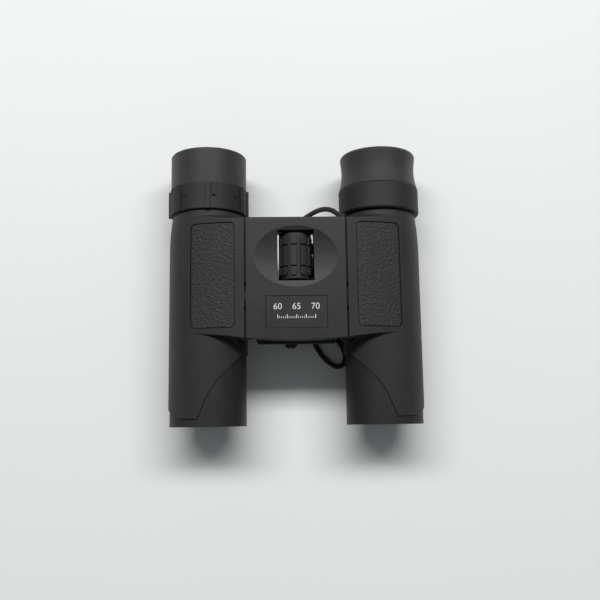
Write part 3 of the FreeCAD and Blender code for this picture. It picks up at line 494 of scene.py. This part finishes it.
def make_cords():
    lug_line = spline_points("lug_route", LUG_ROUTE)
    lug_cord, lug_path = braided_tube("cord_to_lug", lug_line, CORD_RADIUS * mm)
    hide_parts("lug_cord")
    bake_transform(lug_cord)

    ferrule = turned_piece(
        "ferrule",
        [(0.6, 0), (1.35, 0), (1.6, 0.25), (1.68, 0.9), (1.68, 1.5), (1.5, 1.7), (1.5, 2.1), (1.68, 2.3), (1.68, 2.9),
         (1.5, 3.1), (1.5, 3.5), (1.68, 3.7), (1.68, 4.3), (1.6, 4.95), (1.35, 5.2), (0.6, 5.2)],
        (CONNECTOR_X, CONNECTOR_FRONT, CONNECTOR_Z), (0, 1, 0), "tie_plastic",
    )
    put(ferrule, "bridge", "tie_plastic", "cord_connector")
    upright = Matrix.Rotation(math.radians(90), 3, "X")
    lug_knot = knot_tube("knot_at_lug", (19.2, 28.4, 24.3), 0.36, 0.85, 0.55, Matrix.Rotation(math.radians(65), 3, "Y"))
    put(lug_knot, "right_barrel", "cord_fabric", "lug_knot")

    line = spline_points("hank_route", hank_route())
    cord, path = braided_tube("carrying_cord", line, CORD_RADIUS * mm)
    put(cord, "bridge", "cord_fabric", "neck_cord", "cord_hank")
    end_knot = knot_tube("knot_at_end", END_KNOT, 0.63, 1.08, 1.05, upright)
    put(end_knot, "bridge", "cord_fabric", "cord_knot")
    tie = make_tie()
    put(tie, "bridge", "tie_plastic", "cord_tie")
    for piece in (cord, tie):
        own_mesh(piece)
    print("cord lengths", round(length_of(lug_line), 4), round(length_of(line), 4))


def make_tie():
    """A ribbed elastic band around the waist of the hank."""
    half_x = 2.48
    low, high = 0.3, HANK_BASE + LAYER * LAYERS + CORD_RADIUS + 0.2
    middle = (low + high) / 2
    half_z = (high - low) / 2
    corner = 1.3
    ring = []
    for quarter, (sx, sz) in enumerate(((1, 1), (-1, 1), (-1, -1), (1, -1))):
        for n in range(7):
            angle = math.radians(90 * quarter + 15 * n)
            ring.append((sx * (half_x - corner) + corner * math.cos(angle), sz * (half_z - corner) + corner * math.sin(angle)))
    profile = [(-0.2, -1.95), (0.2, -2.0)]
    profile += [(0.27 if n % 2 else 0.13, -2.0 + n * 0.25) for n in range(1, 16)]
    profile += [(0.2, 2.0), (-0.2, 1.95)]
    verts = []
    faces = []
    for x, z in ring:
        core_x = max(corner - half_x, min(half_x - corner, x))
        core_z = max(corner - half_z, min(half_z - corner, z))
        core = Vector((core_x, 0, core_z))
        outward = (Vector((x, 0, z)) - core).normalized()
        for out, along in profile:
            verts.append((Vector((HANK_X, 2.0 + along, middle)) + Vector((x, 0, z)) + outward * out) * mm)
    size = len(profile)
    for n in range(len(ring)):
        for k in range(size):
            a, b = n * size + k, n * size + (k + 1) % size
            c, d = ((n + 1) % len(ring)) * size + (k + 1) % size, ((n + 1) % len(ring)) * size + k
            faces.append((a, b, c, d))
    return shown("hank_band", mesh_of("hank_band", verts, faces), "tie_plastic")


make_cords()


# ---- grip panels ----

GRAIN_CELL = 1.05
GRAIN_DEPTH = 0.3
PANEL_CELL = 0.2
PANEL_CORNER = 2.0
PANEL_ROLL = 0.8
PANEL_DROP = 0.3


def grain(x, y):
    """Height of the leather grain, from 0 in a crease to 1 on a pebble."""
    warp = noise.noise_vector(Vector((x * 0.9, y * 0.9, 3.1))) * 0.35
    place = Vector(((x + warp.x) / GRAIN_CELL, (y + warp.y) / GRAIN_CELL, 0))
    near, second = noise.voronoi(place)[0][:2]
    crease = min(1.0, (second - near) / 0.42)
    return crease * (2 - crease) * (0.8 + 0.2 * noise.noise(Vector((x * 2.2, y * 2.2, 0))))


def make_grip(side, body):
    node = side + "_grip_panel"
    low, high = [Vector(c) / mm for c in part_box(node)]
    solid = nodes[node]
    tree = BVHTree.FromPolygons([v.co for v in solid.data.vertices], [p.vertices[:] for p in solid.data.polygons])
    columns = round((high.x - low.x) / PANEL_CELL)
    rows = round((high.y - low.y) / PANEL_CELL)
    verts = []
    for j in range(rows + 1):
        y = low.y + (high.y - low.y) * j / rows
        end = min(y - low.y, high.y - y)
        inset = PANEL_CORNER - math.sqrt(PANEL_CORNER**2 - (PANEL_CORNER - end) ** 2) if end < PANEL_CORNER else 0
        for i in range(columns + 1):
            x = low.x + inset + (high.x - low.x - 2 * inset) * i / columns
            edge = min(x - low.x - inset, high.x - inset - x, end)
            inner = Vector((min(max(x, low.x + inset + 0.05), high.x - inset - 0.05), min(max(y, low.y + 0.05), high.y - 0.05)))
            hit, normal, _, _ = tree.ray_cast(Vector((inner.x, inner.y, 60)) * mm, Vector((0, 0, -1)))
            if hit is None:
                hit, normal, _, _ = tree.find_nearest(Vector((inner.x, inner.y, high.z)) * mm)
            roll = max(0.0, 1 - edge / PANEL_ROLL)
            sink = PANEL_DROP * roll * roll + GRAIN_DEPTH * (1 - grain(x, y)) * (1 - 0.6 * roll)
            base = Vector((x * mm, y * mm, hit.z))
            verts.append(base - Vector((0, 0, 1)) * (sink - 0.05) * mm)
    width = columns + 1
    faces = []
    for j in range(rows):
        for i in range(columns):
            a = j * width + i
            faces.append((a, a + 1, a + 1 + width, a + width))
    border = list(range(width)) + [j * width + columns for j in range(1, rows + 1)]
    border += [rows * width + i for i in range(columns - 1, -1, -1)] + [j * width for j in range(rows - 1, 0, -1)]
    base = len(verts)
    verts += [verts[n] - Vector((0, 0, 0.45 * mm)) for n in border]
    for n in range(len(border)):
        after = (n + 1) % len(border)
        faces.append((border[after], border[n], base + n, base + after))
    piece = shown(side + "_grip", mesh_of(node, verts, faces), "grip_rubber")
    put(piece, body, "grip_rubber", node)


for side in ("left", "right"):
    make_grip(side, side + "_barrel")


# ---- the printed scale on the label ----

PRINT_HEIGHT = 0.03
PRINT_SIZE = 3.5


def printed_mesh(name, body_text, size, x, y, z):
    curve = bpy.data.curves.new(name, "FONT")
    curve.body = body_text
    curve.size = size * mm
    curve.align_x = "CENTER"
    curve.align_y = "CENTER"
    curve.extrude = PRINT_HEIGHT * mm
    curve.resolution_u = 6
    holder = bpy.data.objects.new(name, curve)
    mesh = bpy.data.meshes.new_from_object(holder)
    bpy.data.objects.remove(holder)
    mesh.transform(Matrix.Translation(Vector((x, y, z)) * mm))
    return mesh


def make_print():
    low, high = [Vector(c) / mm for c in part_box("label_plate")]
    z = high.z + 0.005
    middle_x = (low.x + high.x) / 2
    top_row = low.y + 0.67 * (high.y - low.y)
    whole = bmesh.new()
    for text, x in (("60", -7.4), ("65", 0.0), ("70", 7.4)):
        whole.from_mesh(printed_mesh("numbers", text, PRINT_SIZE, middle_x + x, top_row, z))
    row = low.y + 0.3 * (high.y - low.y)
    for n in range(-10, 11):
        long = n % 5 == 0
        half = 0.16 if long else 0.1
        tall = 1.5 if long else 0.8
        x = middle_x + n * 0.86 * 1.72 / 2
        corners = [(x - half, row), (x + half, row), (x + half, row + tall), (x - half, row + tall)]
        top = [whole.verts.new((a * mm, b * mm, (z + PRINT_HEIGHT) * mm)) for a, b in corners]
        bottom = [whole.verts.new((a * mm, b * mm, (z - 0.02) * mm)) for a, b in corners]
        whole.faces.new(top)
        whole.faces.new(bottom[::-1])
        for k in range(4):
            whole.faces.new((top[k], bottom[k], bottom[(k + 1) % 4], top[(k + 1) % 4]))
    mesh = bpy.data.meshes.new("scale_print")
    whole.to_mesh(mesh)
    whole.free()
    piece = bpy.data.objects.new("scale_print", mesh)
    bpy.context.collection.objects.link(piece)
    mesh.materials.clear()
    mesh.materials.append(ink)
    put(piece, "bridge", "label_print")


def make_ink():
    m = Material("white_ink", Roughness=0.55)
    wear_and_edge_highlight = m.noise(m.place(), 1400, 4, 0.7)
    m.to("Base Color", m.blend(m.spread(wear_and_edge_highlight, 0.55, 0.75, 0, 1), grey(0.62), grey(0.42)))
    return m.material


ink = make_ink()
make_print()


# ---- floor and light ----


def make_floor():
    size = 1.6
    mesh = mesh_of("floor", [(-size, -size, 0), (size, -size, 0), (size, size, 0), (-size, size, 0)], [(0, 1, 2, 3)])
    floor = bpy.data.objects.new("floor", mesh)
    bpy.context.collection.objects.link(floor)
    m = Material("floor", Roughness=0.6)
    cloud = m.noise(m.place(), 5, 2)
    m.to("Base Color", m.blend(cloud, (0.73, 0.76, 0.75), (0.76, 0.785, 0.775)))
    mesh.materials.append(m.material)


def area_light(name, place, target, width, height, power, tint):
    data = bpy.data.lights.new(name, "AREA")
    data.shape = "RECTANGLE"
    data.size = width
    data.size_y = height
    data.energy = power
    data.color = tint
    light = bpy.data.objects.new(name, data)
    light.location = place
    light.rotation_euler = (Vector(target) - Vector(place)).to_track_quat("-Z", "Y").to_euler()
    bpy.context.collection.objects.link(light)


def make_light():
    world = bpy.data.worlds.new("world")
    world.use_nodes = True
    sky = world.node_tree.nodes["Background"]
    sky.inputs["Color"].default_value = (0.95, 0.97, 1.0, 1)
    sky.inputs["Strength"].default_value = 0.2
    bpy.context.scene.world = world
    area_light("key", (0.0, 0.78, 1.3), (0, 0.02, 0), 2.2, 0.32, 30.0, (1, 0.99, 0.975))


make_floor()
make_light()
bpy.context.scene.view_settings.view_transform = "Standard"
